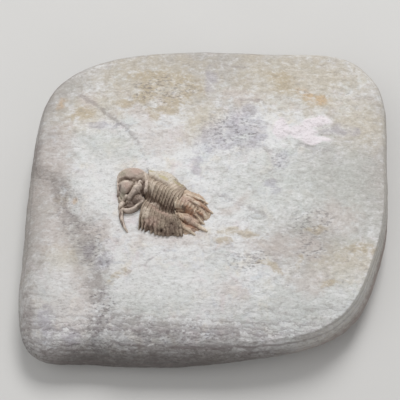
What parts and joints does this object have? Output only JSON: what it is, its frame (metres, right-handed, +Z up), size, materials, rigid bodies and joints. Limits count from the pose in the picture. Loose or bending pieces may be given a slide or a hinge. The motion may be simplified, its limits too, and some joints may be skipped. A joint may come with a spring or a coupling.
{
  "type": "trilobite fossil",
  "caption": "Spiny trilobite fossil lying partly freed on a loose, rounded block of pale limestone with a flat underside.",
  "frame": {"origin": "middle of the flat underside of the stone, on the surface it lies on", "axes": "+Z up, +X along the stone's long side away from the trilobite's head, +Y towards the stone's straight back edge"},
  "size_m": [0.1082, 0.0961, 0.0248],
  "materials": {
    "limestone": "pale grey-cream, fine grained and matt",
    "head": "grey-brown shell, faintly glossy",
    "body": "brown shell with tan ribs",
    "tail": "orange-brown shell"
  },
  "bodies": {
    "root": {"matrix": "limestone", "cephalon": "head", "thorax": "body", "pygidium": "tail"}
  },
  "joints": []
}
